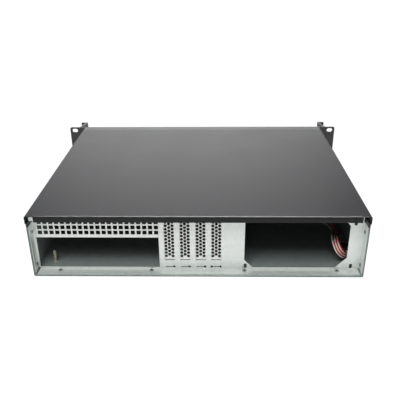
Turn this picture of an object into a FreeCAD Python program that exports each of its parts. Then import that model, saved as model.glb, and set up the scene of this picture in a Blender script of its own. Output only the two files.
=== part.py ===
import FreeCAD, Part
import math
import os
import Sketcher
from FreeCAD import Rotation, Vector

# Two-unit (88 mm) rack case for a microATX board and an ATX power supply, empty.
# Frame: X to the right seen from the front, Y to the rear, Z up, millimetres.
# The floor stands on Z = 0 and the whole case is centred on X = 0 and Y = 0.

doc = FreeCAD.newDocument("RackCase")
sheet = doc.addObject("Spreadsheet::Sheet", "Sizes")


class Size:
    """A length that knows its value and the sheet expression it comes from."""

    def __init__(self, value, text):
        self.value = float(value)
        self.text = text

    def join(self, other, sign, value, swapped=False):
        other_text = other.text if isinstance(other, Size) else repr(float(other))
        left, right = (other_text, self.text) if swapped else (self.text, other_text)
        return Size(value, "(" + left + " " + sign + " " + right + ")")

    def __add__(self, other):
        return self.join(other, "+", self.value + number(other))

    def __radd__(self, other):
        return self.join(other, "+", number(other) + self.value, True)

    def __sub__(self, other):
        return self.join(other, "-", self.value - number(other))

    def __rsub__(self, other):
        return self.join(other, "-", number(other) - self.value, True)

    def __mul__(self, other):
        return self.join(other, "*", self.value * number(other))

    def __rmul__(self, other):
        return self.join(other, "*", number(other) * self.value, True)

    def __truediv__(self, other):
        return self.join(other, "/", self.value / number(other))

    def __neg__(self):
        return Size(-self.value, "(0 - " + self.text + ")")


def number(size):
    return size.value if isinstance(size, Size) else float(size)


def text(size):
    return size.text if isinstance(size, Size) else repr(float(size))


# ---------------------------------------------------------------- driving dimensions
case_width = 428           # outside width of the folded base
case_depth = 350           # rack face to rear edge
case_height = 88           # floor to top of the cover
metal = 1                  # thickness of the folded steel sheet
bend = 1                   # inside radius of the bends
fit = 0.2                  # gap between sheets that slide together
seat = 0.1                 # gap under sheets that are screwed or riveted down
wall_drop = 10.8           # top of the cover to the top of the base's side walls

recess = 15.5              # rear edge of the base to the rear panel's face
lap = 12.5                 # length of the rear panel's flanges towards the rear
flange_drop = 16           # top of the cover to the top of the rear panel's side flanges
corner_relief = 2.4        # gap where two flanges meet at a corner
ledge_drop = 8             # top of the cover to the ledge that carries the slot covers
ledge_reach = 10.5         # depth of that ledge
upright_width = 6          # width of the upright tab at the end of the ledge
upright_rise = 5           # height of that tab above the ledge
upper_inset = 3.4          # case side to the rear panel above its flanges

io_width = 158.75          # input and output opening, width
io_height = 44.45          # input and output opening, height
io_bottom = 5.1            # input and output opening, lower edge
io_inset = 4.9             # case side to the opening's far edge

vent_square = 5.4          # side of one square vent hole
vent_pitch = 7.5           # distance between vent holes
vent_columns = 21          # vent holes side by side
vent_rows = 3              # vent holes one above another
vent_inset = 10.9          # case side to the farthest column
vent_bottom = 56.9         # centre of the lowest row

slot_pitch = 20.32         # distance between expansion slots
slot_away = 13.5          # connector opening to the middle of the nearest slot
slot_opening = 13.4        # width of a slot opening
slot_bottom = 15.6         # lower edge of a slot opening
slot_drop = 4              # ledge to the upper edge of a slot opening
slit_height = 5.6          # height of the slit for a cover's tongue
slit_thick = 0.9           # opening of that slit
slit_length = 11.6         # length of that slit
slit_eye = 1.5             # radius of the hole at the slit's end

blank_width = 18.4         # width of a slot cover
blank_thick = 0.9          # thickness of a slot cover
tongue_width = 10.2        # width of its tongue
tongue_end = 7.8           # lower end of the tongue
tongue_top = 11            # where the tongue widens to the cover
tab_reach = 9.5            # reach of the screw tab over the ledge
hole_across = 4.6          # perforation, corner to corner
hole_pitch = 5             # perforation pitch along a column
hole_column = 4.33         # distance between perforation columns
hole_bottom = 21.3         # centre of the lowest perforation
hole_count = 11            # perforations in each outer column

psu_width = 133.5          # power supply opening, width
psu_inset = 19.7           # case side to the power supply opening's far edge
psu_bottom = 5.1           # lower edge of that opening
psu_drop = 3               # ledge to the upper edge of that opening
psu_cut_near = 11          # lower chamfer on the near side
psu_cut_far = 14.6         # lower chamfer on the far side
psu_cut_top = 9.7          # upper chamfer on the far side
psu_screw_side = 1.7       # near edge of that opening to the near lower screw
psu_screw_span = 138       # distance between the lower screws
psu_screw_height = 7.1     # height of the lower screws
psu_screw_rise = 64        # lower far screw to upper far screw
psu_screw_lift = 74        # lower screws to upper near screw
psu_screw_inset = 24       # near screws, sideways offset
psu_slot_width = 4         # width of a power supply screw slot
psu_slot_length = 6.8      # length of a power supply screw slot
step_side = 12.8           # near edge of that opening to the step in the panel's top

lid_gap = 13               # rack face to the front end of the cover
lid_flange = 10.5          # height of the cover's outer side flange
lid_tongue = 4.7           # part of the flange tucked inside the walls
lip_height = 8.3           # height of the lip at the rear
lip_inset = 10             # case side to the end of the lip
lip_relief = 1.2           # width of the notch at each end of the lip
tab_width = 14             # width of a screw tab on the cover
tab_drop = 9               # depth of a screw tab below the tongue
tab_first = 60             # rear edge to the first screw tab
tab_last = 47              # front end of the cover to the last screw tab
tab_count = 3              # screw tabs on each side of the cover

rack_width = 482.6         # width over the rack ears
face_over = 0.1            # top of the cover to the top of the front panel
face_thick = 2             # thickness of the front panel
face_corner = 3            # corner radius of the front panel
face_return = 12.6         # depth of the front panel's folded edges
face_screw_low = 16        # height of the lower side screws
face_screw_high = 60       # height of the upper side screws
ear_inset = 8.75           # end of the front panel to the middle of its rack slots
ear_rise = 76.2            # distance between the rack slots, up
ear_slot_width = 6.8       # width of a rack slot
ear_slot_length = 10.2     # length of a rack slot

handle_reach = 37          # handle, front of the panel to its front
handle_gap = 2.65          # end of a handle to the front panel's edge
handle_thick = 4           # thickness of the handle's section
handle_inset = 26.8        # end of the front panel to the foot's inner end
foot_width = 12.5          # width of a handle's foot
grip_shift = 1.8           # foot's inner end to the grip's corner, sideways
grip_width = 12            # width of the grip
handle_screw_in = 4.1      # foot's inner end to a handle screw
handle_screw_span = 50     # distance between handle screws

fan_size = 80              # side of the fan frame
fan_depth = 25             # depth of the fan frame
fan_bore = 38              # radius of the fan's air duct
fan_corner = 5             # corner radius of the fan frame
fan_hole_span = 71.5       # distance between the fan's screw holes
fan_side = 104             # case side to the fan's axis
strut_thick = 4            # depth of the struts behind the rotor
strut_width = 4            # width of a strut
rotor_gap = 1.5            # rotor to the front panel, and to the struts
spindle_radius = 1.5       # radius of the rotor's spindle
hub_radius = 17            # radius of the rotor's hub
blade_gap = 1              # blade tip to air duct
blade_count = 7            # blades of the rotor
intake_width = 64          # width of an intake slot
intake_height = 4          # height of an intake slot
intake_pitch = 8           # distance between intake slots
intake_count = 8           # intake slots over the fan

bay_side = 82.5            # case side to the middle of the drive bay
bay_width = 149            # width of the drive bay opening
bay_height = 42.5          # height of the drive bay opening
bay_bottom = 22            # lower edge of the drive bay opening
bay_lap = 1.6              # rim of the bay cover around its opening
bay_rim = 1.5              # thickness of that rim
bay_leg = 12               # length of the bay cover's legs
cage_depth = 147           # depth of the drive cage
cage_gap = 16              # rack face to the drive cage
cage_foot = 12             # width of the cage's feet
cage_shelf = 7             # width of the shelves a drive slides on
cage_slot_rise = 10        # shelf to the drive's screw slots

control_x = 18             # case centre to the control group, to the left
power_radius = 6           # radius of the power button
power_height = 66          # height of the power button's axis
reset_radius = 2.2         # radius of the reset button
reset_height = 42          # height of the reset button's axis
light_radius = 1.5         # radius of an indicator light
light_span = 9             # distance between the two indicator lights
light_height = 53          # height of the indicator lights
button_proud = 1.6         # button face in front of the panel
button_travel = 1          # stroke of a button
button_gap = 0.3           # gap around a button in its hole
collar = 1                 # width and thickness of a button's collar
board_gap = 9              # front panel to the control board
board_width = 26           # width of the control board
board_low = 6              # lower edge of the control board
board_high = 80            # upper edge of the control board
board_thick = 1.6          # thickness of the control board
switch_side = 6            # side of a push switch
switch_deep = 4            # depth of a push switch
usb_width = 13.2           # width of a USB socket
usb_tall = 5.8             # height of a USB socket
usb_height = 24            # height of the upper USB socket's axis
usb_pitch = 11             # distance between the two USB sockets

standoff_height = 6.35     # height of a board standoff
standoff_radius = 3        # corner radius of a standoff
board_far = 203.2          # board holes, sideways span
board_near = 157.48        # board holes, sideways to the inner column
board_mid = 154.94         # board holes, rear row to middle row
board_front = 227.33       # board holes, rear row to front row
board_side = 10.1          # case side to the board holes' outer column
board_y = 12.5             # rear panel to the board holes' rear row
post_height = 17.5         # height of the snap-in support post
post_radius = 1.9          # radius of that post
post_side = 19.5           # case side to the support post
post_y = 34.5              # rear edge to the support post

plug_width = 13            # width of the lead bundle's plug
plug_tall = 7.6            # height of that plug
plug_long = 14             # length of that plug
plug_pitch = 2.54          # distance between its sockets
plug_socket = 1            # side of a socket in the plug's end

rivet_inset = 11.6         # rear edge to the rear rivets
rivet_inner = 31.8         # case side to the outer floor rivets
rivet_mid = 61             # case centre to the inner floor rivets
rivet_low = 11.3           # height of the lower side rivets
rivet_high = 60.3          # height of the upper side rivets
rivet_head = 2.9           # radius of a rivet's head
rivet_shank = 1.6          # radius of a rivet's shank
rivet_bore = 1.25          # radius of a rivet's bore
rivet_deep = 1.9           # depth of a rivet's bore, which ends at the broken pin
rivet_rise = 0.8           # height of a rivet's head
screw_head = 2.9           # radius of a small screw's head
screw_rise = 1.7           # height of a small screw's head
screw_shank = 1.5          # radius of a small screw's shank
screw_length = 5           # length of a small screw's shank
hole_gap = 0.05            # gap around a shank in its hole


def into_sheet(alias, value, row):
    """Write one driving dimension in the sheet; gives the Size that stands for its cell."""
    sheet.set("A%d" % row, alias.replace("_", " "))
    sheet.set("B%d" % row, str(value))
    sheet.setAlias("B%d" % row, alias)
    return Size(value, "Sizes." + alias)


# From here on each name above stands for its value and its cell together.
dimensions = {name: value for name, value in globals().items() if type(value) in (int, float)}
for row, (name, value) in enumerate(dimensions.items(), 1):
    globals()[name] = into_sheet(name, value, row)

# ---------------------------------------------------------------- places worked out
rear_y = (case_depth + face_thick + handle_reach) / 2
front_y = rear_y - case_depth
face_y = front_y - face_thick
panel_y = rear_y - recess
half = case_width / 2
inner = half - metal
flange_side = inner - fit
wall_height = case_height - wall_drop
flange_top = case_height - flange_drop
ledge_height = case_height - ledge_drop
face_height = case_height + face_over
lid_depth = case_depth - lid_gap
floor_top = metal + seat
lid_side = half + metal
lid_under = case_height - metal
tongue_out = inner - fit
tongue_in = tongue_out - metal
step_z = case_height - lid_flange
tongue_z = step_z - lid_tongue
centre_z = face_height / 2
upper_side = half - upper_inset
cover_y = panel_y - metal - seat
ledge_side = tongue_in - fit


io_side = half - io_inset - io_width
vent_side = half - vent_inset - vent_pitch * (vent_columns - 1)
slot_first = io_side - slot_away
slot_top = ledge_height - slot_drop
psu_far = half - psu_inset
psu_near = psu_far - psu_width
psu_top = ledge_height - psu_drop
psu_screw_near = psu_near + psu_screw_side
panel_step = psu_near - step_side
ear_span = rack_width - ear_inset * 2
handle_height = face_height - handle_gap * 2
handle_foot_in = rack_width / 2 - handle_inset
handle_foot_out = handle_foot_in + foot_width
handle_front_in = handle_foot_in + grip_shift
handle_front_out = handle_front_in + grip_width
handle_screw_x = handle_foot_in + handle_screw_in
tab_pitch = (lid_depth - tab_first - tab_last) / (tab_count - 1)
fan_x = half - fan_side
bay_x = half - bay_side
board_x = half - board_side
post_x = half - post_side
rivet_side = half - rivet_inner


# ---------------------------------------------------------------- helpers
def bind(thing, prop, size):
    """Set a property and tie it to the sheet."""
    setattr(thing, prop, number(size))
    if isinstance(size, Size):
        thing.setExpression(prop, size.text)


def place(thing, x=0, y=0, z=0, rotation=None):
    """Put an object in the case, its position tied to the sheet."""
    base = Vector(number(x), number(y), number(z))
    thing.Placement = FreeCAD.Placement(base, rotation or Rotation())
    for axis, size in zip("xyz", (x, y, z)):
        if isinstance(size, Size):
            thing.setExpression("Placement.Base." + axis, size.text)
    return thing


def new_body(label, x=0, y=0, z=0):
    body = doc.addObject("PartDesign::Body", label)
    body.Label = label
    return place(body, x, y, z)


def new_sketch(body, role="XZ_Plane", away=None):
    """A sketch on one of the body's own planes, moved along its normal if asked."""
    sketch = body.newObject("Sketcher::SketchObject", body.Name + "_sketch")
    plane = [o for o in body.Origin.OriginFeatures if o.Role == role][0]
    sketch.AttachmentSupport = [(plane, "")]
    sketch.MapMode = "FlatFace"
    if away is not None:
        sketch.AttachmentOffset = FreeCAD.Placement(Vector(0, 0, number(away)), Rotation())
        sketch.setExpression("AttachmentOffset.Base.z", text(away))
    return sketch


def dimension(sketch, kind, where, size):
    """A driving constraint of the sketch, tied to the sheet."""
    index = sketch.addConstraint(Sketcher.Constraint(kind, *where, number(size)))
    if isinstance(size, Size):
        sketch.setExpression("Constraints[%d]" % index, size.text)


def pin(sketch, shape, point, x, y):
    """Fix one point of a sketch shape at x, y from the sketch's origin."""
    dimension(sketch, "DistanceX", (-1, 1, shape, point), x)
    dimension(sketch, "DistanceY", (-1, 1, shape, point), y)


def outline(sketch, points):
    """A closed outline of straight lines through the points."""
    corners = [Vector(number(x), number(y), 0) for x, y in points]
    after = corners[1:] + corners[:1]
    lines = [sketch.addGeometry(Part.LineSegment(a, b)) for a, b in zip(corners, after)]
    for this, following in zip(lines, lines[1:] + lines[:1]):
        sketch.addConstraint(Sketcher.Constraint("Coincident", this, 2, following, 1))
    for line, (x, y) in zip(lines, points):
        pin(sketch, line, 1, x, y)


def rectangle(sketch, left, right, low, high):
    outline(sketch, [(left, low), (right, low), (right, high), (left, high)])


def circle(sketch, x, y, radius):
    centre = Vector(number(x), number(y), 0)
    shape = sketch.addGeometry(Part.Circle(centre, Vector(0, 0, 1), number(radius)))
    pin(sketch, shape, 3, x, y)
    dimension(sketch, "Radius", (shape,), radius)


def round_slot(sketch, x, y, length, width, upright=False):
    """A slot with half-round ends, lying along X or standing upright."""
    radius = width / 2
    reach = (length - width) / 2
    turn = math.pi / 2 if upright else 0
    ends = []
    for side in (1, -1):
        cx = x if upright else x + reach * side
        cy = y + reach * side if upright else y
        start = turn - side * math.pi / 2
        centre = Vector(number(cx), number(cy), 0)
        base = Part.Circle(centre, Vector(0, 0, 1), number(radius))
        arc = sketch.addGeometry(Part.ArcOfCircle(base, start, start + math.pi))
        pin(sketch, arc, 3, cx, cy)
        dimension(sketch, "Radius", (arc,), radius)
        ends.append(arc)
    for this, other in ((0, 1), (1, 0)):
        a = sketch.Geometry[ends[this]].EndPoint
        b = sketch.Geometry[ends[other]].StartPoint
        line = sketch.addGeometry(Part.LineSegment(a, b))
        sketch.addConstraint(Sketcher.Constraint("Tangent", ends[this], 2, line, 1))
        sketch.addConstraint(Sketcher.Constraint("Tangent", line, 2, ends[other], 1))


def pad(body, sketch, length, towards_plus=False):
    feature = body.newObject("PartDesign::Pad", body.Name + "_pad")
    feature.Profile = sketch
    bind(feature, "Length", length)
    feature.Reversed = towards_plus
    body.Tip = feature
    return feature


def cut_through(body, sketch):
    """Cut the sketch right through the body, both ways from its plane."""
    feature = body.newObject("PartDesign::Pocket", body.Name + "_cut")
    feature.Profile = sketch
    feature.Type = 1
    feature.Midplane = True
    body.Tip = feature
    return feature


def cut(body, sketch, length, towards_plus=False):
    """Cut the sketch to a depth, against the plane's normal unless told otherwise."""
    feature = body.newObject("PartDesign::Pocket", body.Name + "_cut")
    feature.Profile = sketch
    bind(feature, "Length", length)
    feature.Reversed = towards_plus
    body.Tip = feature
    return feature


def repeat(body, feature, sketch, steps):
    """Repeat a cut along the sketch's own axes: (axis, distance, count) each."""
    pattern = body.newObject("PartDesign::MultiTransform", body.Name + "_pattern")
    pattern.Originals = [feature]
    rows = []
    for axis, pitch, count in steps:
        line = doc.addObject("PartDesign::LinearPattern", body.Name + "_row")
        body.addObject(line)
        line.Direction = (sketch, [axis])
        bind(line, "Length", pitch * (count - 1))
        line.Occurrences = int(number(count))
        line.setExpression("Occurrences", text(count))
        rows.append(line)
    pattern.Transformations = rows
    body.Tip = pattern
    return pattern


def round_edges(body, radius, chosen):
    """Fillet the edges of the body whose middle and direction suit `chosen`."""
    doc.recompute()
    names = []
    for index, edge in enumerate(body.Tip.Shape.Edges, 1):
        if len(edge.Vertexes) == 2 and edge.Curve.TypeId == "Part::GeomLine":
            run = (edge.Vertexes[1].Point - edge.Vertexes[0].Point).normalize()
            if chosen(edge.CenterOfMass, run):
                names.append("Edge%d" % index)
    before = body.Tip
    feature = body.newObject("PartDesign::Fillet", body.Name + "_bend")
    feature.Base = (before, names)
    bind(feature, "Radius", radius)
    body.Tip = feature
    return feature


def close(value, size):
    return abs(value - number(size)) < 0.02


def cylinder(name, radius, height, z=0):
    thing = doc.addObject("Part::Cylinder", name)
    bind(thing, "Radius", radius)
    bind(thing, "Height", height)
    return place(thing, 0, 0, z)


def cone(name, low, high, height, z=0):
    thing = doc.addObject("Part::Cone", name)
    bind(thing, "Radius1", low)
    bind(thing, "Radius2", high)
    bind(thing, "Height", height)
    return place(thing, 0, 0, z)


def box(name, x, y, z, width, depth, height):
    thing = doc.addObject("Part::Box", name)
    bind(thing, "Length", width)
    bind(thing, "Width", depth)
    bind(thing, "Height", height)
    return place(thing, x, y, z)


def fuse(name, things):
    joined = doc.addObject("Part::MultiFuse", name)
    joined.Shapes = things
    return joined


def group(label, things):
    """Several loose pieces of one kind under one name."""
    together = doc.addObject("Part::Compound", label)
    together.Label = label
    together.Links = things
    return together


UP = Rotation()
TO_REAR = Rotation(Vector(0, 0, 1), Vector(0, 1, 0))
TO_FRONT = Rotation(Vector(0, 0, 1), Vector(0, -1, 0))
TO_RIGHT = Rotation(Vector(0, 0, 1), Vector(1, 0, 0))
TO_LEFT = Rotation(Vector(0, 0, 1), Vector(-1, 0, 0))


def screw(name, at, facing, length=screw_length):
    """A pan-head screw: its head lies on the point `at` and looks along `facing`."""
    head = cone(name + "_head", screw_head, screw_head * 0.72, screw_rise)
    shank = cylinder(name + "_shank", screw_shank, length, -length)
    return place(fuse(name, [head, shank]), *at, facing)


def rivet(name, at, facing):
    """A blind rivet: a low round head with a bore down to the pin, and its shank."""
    head = cone(name + "_head", rivet_head, rivet_head * 0.8, rivet_rise)
    shank = cylinder(name + "_shank", rivet_shank, 2 * metal + seat, -(2 * metal + seat))
    bore = cylinder(name + "_bore", rivet_bore, rivet_deep, rivet_rise - rivet_deep)
    tube = doc.addObject("Part::Cut", name)
    tube.Base = fuse(name + "_solid", [head, shank])
    tube.Tool = bore
    return place(tube, *at, facing)


# ---------------------------------------------------------------- places that repeat
rear_rivet_y = rear_y - rivet_inset
floor_rivets = [x * side for x in (rivet_side, rivet_mid) for side in (1, -1)]
side_rivets = [rivet_low, rivet_high]
tab_places = [tab_first + tab_pitch * i for i in range(int(number(tab_count)))]
tab_screw_z = tongue_z - tab_drop / 2
slot_places = [slot_first - slot_pitch * i for i in range(4)]
board_grid = [(across, along)
              for along in (0, board_mid, board_front)
              for across in (0, board_near, board_far)]
board_holes = [(board_x - across, panel_y - metal - board_y - along)
               for across, along in board_grid[1:]]
face_screw_y = front_y + face_return / 2
face_screw_z = [face_screw_low, face_screw_high]
cage_front = front_y + cage_gap
cage_rear = cage_front + cage_depth
cage_half = bay_width / 2 + metal
cage_end = cage_foot * 1.5
cage_rivets = [(-bay_x + side * (cage_half - cage_foot * 0.55), y)
               for side in (1, -1) for y in (cage_front + cage_end, cage_rear - cage_end)]

# ---------------------------------------------------------------- base of the case
chassis = new_body("chassis_base", 0, rear_y, 0)
profile = new_sketch(chassis)
outline(profile, [(-half, 0), (half, 0), (half, wall_height), (inner, wall_height),
                  (inner, metal), (-inner, metal), (-inner, wall_height),
                  (-half, wall_height)])
pad(chassis, profile, case_depth)
round_edges(chassis, bend + metal,
            lambda c, run: abs(run.y) > 0.9 and close(abs(c.x), half) and close(c.z, 0))
round_edges(chassis, bend,
            lambda c, run: abs(run.y) > 0.9 and close(abs(c.x), inner) and close(c.z, metal))

floor_holes = new_sketch(chassis, "XY_Plane")
for x in floor_rivets:
    circle(floor_holes, x, -rivet_inset, rivet_shank + hole_gap)
for x, y in cage_rivets:
    circle(floor_holes, x, y - rear_y, rivet_shank + hole_gap)
cut_through(chassis, floor_holes)

wall_holes = new_sketch(chassis, "YZ_Plane")
for z in side_rivets:
    circle(wall_holes, -rivet_inset, z, rivet_shank + hole_gap)
for y in tab_places:
    circle(wall_holes, -y, tab_screw_z, screw_shank + hole_gap)
for z in face_screw_z:
    circle(wall_holes, face_screw_y - rear_y, z, screw_shank + hole_gap)
cut_through(chassis, wall_holes)

# ---------------------------------------------------------------- rear panel
panel_low = floor_top
panel = new_body("rear_panel", 0, panel_y, 0)
plate = new_sketch(panel)
foot_side = flange_side - corner_relief
cheek_low = panel_low + corner_relief
ledge_end = panel_step - corner_relief
outline(plate, [(-flange_side, cheek_low), (-foot_side, cheek_low), (-foot_side, panel_low),
                (foot_side, panel_low), (foot_side, cheek_low), (flange_side, cheek_low),
                (flange_side, flange_top), (upper_side, flange_top),
                (upper_side, ledge_height - corner_relief),
                (ledge_side, ledge_height - corner_relief),
                (ledge_side, ledge_height), (-ledge_end, ledge_height),
                (-ledge_end, ledge_height - corner_relief),
                (-panel_step, ledge_height - corner_relief),
                (-panel_step, lid_under - seat), (-upper_side, lid_under - seat),
                (-upper_side, flange_top), (-flange_side, flange_top)])
pad(panel, plate, metal)

foot = new_sketch(panel)
rectangle(foot, -foot_side, foot_side, panel_low, panel_low + metal)
pad(panel, foot, lap, True)
for side in (1, -1):
    cheek = new_sketch(panel)
    edges = sorted([flange_side * side, (flange_side - metal) * side], key=number)
    rectangle(cheek, *edges, cheek_low, flange_top)
    pad(panel, cheek, lap, True)
ledge = new_sketch(panel)
rectangle(ledge, -ledge_end, ledge_side, ledge_height - metal, ledge_height)
pad(panel, ledge, ledge_reach, True)
for at_z in (panel_low + metal, ledge_height - metal):
    round_edges(panel, bend, lambda c, run: close(c.y, 0) and close(c.z, at_z))
for side in (1, -1):
    round_edges(panel, bend,
                lambda c, run: close(c.y, 0) and close(c.x, (flange_side - metal) * side))
    round_edges(panel, bend + metal,
                lambda c, run: close(c.y, -metal) and close(c.x, flange_side * side))
for at_z in (panel_low, ledge_height):
    round_edges(panel, bend + metal,
                lambda c, run: close(c.y, -metal) and close(c.z, at_z))

upright = new_sketch(panel, "XZ_Plane", metal - ledge_reach)
rectangle(upright, ledge_side - upright_width, ledge_side,
          ledge_height - metal, ledge_height + upright_rise)
pad(panel, upright, metal, True)

openings = new_sketch(panel)
rectangle(openings, io_side, io_side + io_width, io_bottom, io_bottom + io_height)
outline(openings, [(-psu_near, psu_top), (-psu_near, psu_bottom + psu_cut_near),
                   (-(psu_near + psu_cut_near), psu_bottom),
                   (-(psu_far - psu_cut_far), psu_bottom),
                   (-psu_far, psu_bottom + psu_cut_far),
                   (-psu_far, psu_top - psu_cut_top), (-(psu_far - psu_cut_top), psu_top)])
for x in slot_places:
    rectangle(openings, x - slot_opening / 2, x + slot_opening / 2, slot_bottom, slot_top)
psu_screw_far = psu_screw_near + psu_screw_span
psu_holes = [(psu_screw_near, psu_screw_height),
             (psu_screw_far, psu_screw_height),
             (psu_screw_far, psu_screw_height + psu_screw_rise),
             (psu_screw_near + psu_screw_inset, psu_screw_height + psu_screw_lift)]
for x, z in psu_holes[:3]:
    round_slot(openings, -x, z, psu_slot_length, psu_slot_width, upright=True)
circle(openings, -psu_holes[3][0], psu_holes[3][1], psu_slot_width / 2)
cut_through(panel, openings)

slits = new_sketch(panel)
for x in slot_places:
    rectangle(slits, x - slit_length / 2, x + slit_length / 2,
              slit_height - slit_thick / 2, slit_height + slit_thick / 2)
cut_through(panel, slits)
eyes = new_sketch(panel)
for x in slot_places + [slot_places[-1] + slit_length]:
    circle(eyes, x - slit_length / 2, slit_height, slit_eye)
cut_through(panel, eyes)

foot_holes = new_sketch(panel, "XY_Plane")
for x in floor_rivets:
    circle(foot_holes, x, recess - rivet_inset, rivet_shank + hole_gap)
cut(panel, foot_holes, panel_low + metal * 2, True)
cheek_holes = new_sketch(panel, "YZ_Plane")
for z in side_rivets:
    circle(cheek_holes, recess - rivet_inset, z, rivet_shank + hole_gap)
cut_through(panel, cheek_holes)
ledge_screw = ledge_reach * 0.55
ledge_holes = new_sketch(panel, "XY_Plane", ledge_height)
for x in slot_places:
    circle(ledge_holes, x, ledge_screw, screw_shank + hole_gap)
cut(panel, ledge_holes, metal * 2)

vent = new_sketch(panel)
rectangle(vent, vent_side - vent_square / 2, vent_side + vent_square / 2,
          vent_bottom - vent_square / 2, vent_bottom + vent_square / 2)
repeat(panel, cut_through(panel, vent), vent,
       [("H_Axis", vent_pitch, vent_columns), ("V_Axis", vent_pitch, vent_rows)])

# ---------------------------------------------------------------- slot covers
blank_top = ledge_height + seat + blank_thick
tab_front = metal + seat


def hexagon(sketch, x, y, across):
    """A six-sided hole with two sides level."""
    corners = []
    for step in range(6):
        angle = math.radians(60 * step)
        corners.append((x + across / 2 * math.cos(angle), y + across / 2 * math.sin(angle)))
    outline(sketch, corners)


for index, x in enumerate(slot_places, 1):
    blank = new_body("slot_cover_%d" % index, x, cover_y, 0)
    shape = new_sketch(blank)
    shoulder = tongue_top + (blank_width - tongue_width) / 2
    outline(shape, [(-tongue_width / 2, tongue_end), (tongue_width / 2, tongue_end),
                    (tongue_width / 2, tongue_top), (blank_width / 2, shoulder),
                    (blank_width / 2, blank_top), (-blank_width / 2, blank_top),
                    (-blank_width / 2, shoulder), (-tongue_width / 2, tongue_top)])
    pad(blank, shape, blank_thick)
    tab = new_sketch(blank)
    rectangle(tab, -blank_width / 2, blank_width / 2, blank_top - blank_thick, blank_top)
    pad(blank, tab, tab_front + tab_reach, True)
    round_edges(blank, blank_thick,
                lambda c, run: abs(run.x) > 0.9 and close(c.z, blank_top)
                and close(c.y, -blank_thick))
    outer = new_sketch(blank)
    for side in (1, -1):
        hexagon(outer, hole_column * side, hole_bottom, hole_across)
    repeat(blank, cut_through(blank, outer), outer, [("V_Axis", hole_pitch, hole_count)])
    middle = new_sketch(blank)
    hexagon(middle, 0, hole_bottom + hole_pitch / 2, hole_across)
    repeat(blank, cut_through(blank, middle), middle,
           [("V_Axis", hole_pitch, hole_count - 1)])
    notch = new_sketch(blank, "XY_Plane", blank_top)
    circle(notch, 0, tab_front + ledge_screw, screw_shank + hole_gap)
    cut(blank, notch, blank_thick * 2)
group("slot_cover_screws", [
    screw("slot_screw_%d" % i, (x, panel_y + ledge_screw, blank_top), UP)
    for i, x in enumerate(slot_places, 1)])

# ---------------------------------------------------------------- top cover
lid = new_body("top_cover", 0, rear_y, 0)
fold = new_sketch(lid)
right = [(lid_side, case_height), (lid_side, step_z), (tongue_out, step_z),
         (tongue_out, tongue_z), (tongue_in, tongue_z), (tongue_in, step_z + metal),
         (half, step_z + metal), (half, lid_under)]
outline(fold, right + [(-x, z) for x, z in reversed(right)])
pad(lid, fold, lid_depth)
lip = new_sketch(lid)
rectangle(lip, -(half - lip_inset), half - lip_inset, case_height - lip_height, lid_under)
pad(lid, lip, metal)
tabs = new_sketch(lid, "XZ_Plane", tab_first - tab_width / 2)
rectangle(tabs, tongue_in, tongue_out, tongue_z - tab_drop, tongue_z)
rectangle(tabs, -tongue_out, -tongue_in, tongue_z - tab_drop, tongue_z)
repeat(lid, pad(lid, tabs, tab_width), tabs, [("N_Axis", tab_pitch, tab_count)])
round_edges(lid, bend + metal,
            lambda c, run: abs(run.y) > 0.9 and close(abs(c.x), lid_side)
            and close(c.z, case_height))
lip_side = half - lip_inset
reliefs = new_sketch(lid, "XY_Plane")
rectangle(reliefs, lip_side, lip_side + lip_relief, -(bend + metal * 2), 0)
rectangle(reliefs, -(lip_side + lip_relief), -lip_side, -(bend + metal * 2), 0)
cut_through(lid, reliefs)
round_edges(lid, bend + metal, lambda c, run: close(c.x, 0) and close(c.z, case_height)
            and close(c.y, 0))
tab_holes = new_sketch(lid, "YZ_Plane")
for y in tab_places:
    circle(tab_holes, -y, tab_screw_z, screw_shank + hole_gap)
cut_through(lid, tab_holes)
group("top_cover_screws", [
    screw("cover_screw_%d%s" % (i, "rl"[side < 0]),
          (half * side, rear_y - y, tab_screw_z), TO_RIGHT if side > 0 else TO_LEFT)
    for i, y in enumerate(tab_places, 1) for side in (1, -1)])

# ---------------------------------------------------------------- front panel
face = new_body("front_panel", 0, front_y, 0)
front = new_sketch(face)
rectangle(front, -rack_width / 2, rack_width / 2, 0, face_height)
pad(face, front, face_thick)
round_edges(face, face_corner, lambda c, run: abs(run.y) > 0.9)
frame = new_sketch(face)
rectangle(frame, -flange_side, flange_side, floor_top, case_height)
rectangle(frame, -(flange_side - face_thick), flange_side - face_thick,
          floor_top + face_thick, case_height - face_thick)
pad(face, frame, face_return, True)
round_edges(face, bend + metal,
            lambda c, run: abs(run.y) > 0.9 and close(abs(c.x), flange_side)
            and close(c.z, floor_top))

holes = new_sketch(face)
for side in (1, -1):
    for rise in (1, -1):
        round_slot(holes, ear_span / 2 * side, centre_z + ear_rise / 2 * rise,
                   ear_slot_length, ear_slot_width)
        circle(holes, handle_screw_x * side, centre_z + handle_screw_span / 2 * rise,
               screw_shank + hole_gap)
        circle(holes, fan_x + fan_hole_span / 2 * side, centre_z + fan_hole_span / 2 * rise,
               screw_shank + hole_gap)
rectangle(holes, -bay_x - bay_width / 2, -bay_x + bay_width / 2,
          bay_bottom, bay_bottom + bay_height)
circle(holes, -control_x, power_height, power_radius + button_gap)
circle(holes, -control_x, reset_height, reset_radius + button_gap)
for side in (1, -1):
    circle(holes, -control_x + light_span / 2 * side, light_height, light_radius + hole_gap)
usb_places = [usb_height, usb_height - usb_pitch]
for z in usb_places:
    rectangle(holes, -control_x - usb_width / 2 - fit, -control_x + usb_width / 2 + fit,
              z - usb_tall / 2 - fit, z + usb_tall / 2 + fit)
cut_through(face, holes)
intake = new_sketch(face)
intake_low = centre_z - intake_pitch * (intake_count - 1) / 2
rectangle(intake, fan_x - intake_width / 2, fan_x + intake_width / 2,
          intake_low - intake_height / 2, intake_low + intake_height / 2)
repeat(face, cut_through(face, intake), intake, [("V_Axis", intake_pitch, intake_count)])
side_holes = new_sketch(face, "YZ_Plane")
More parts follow.
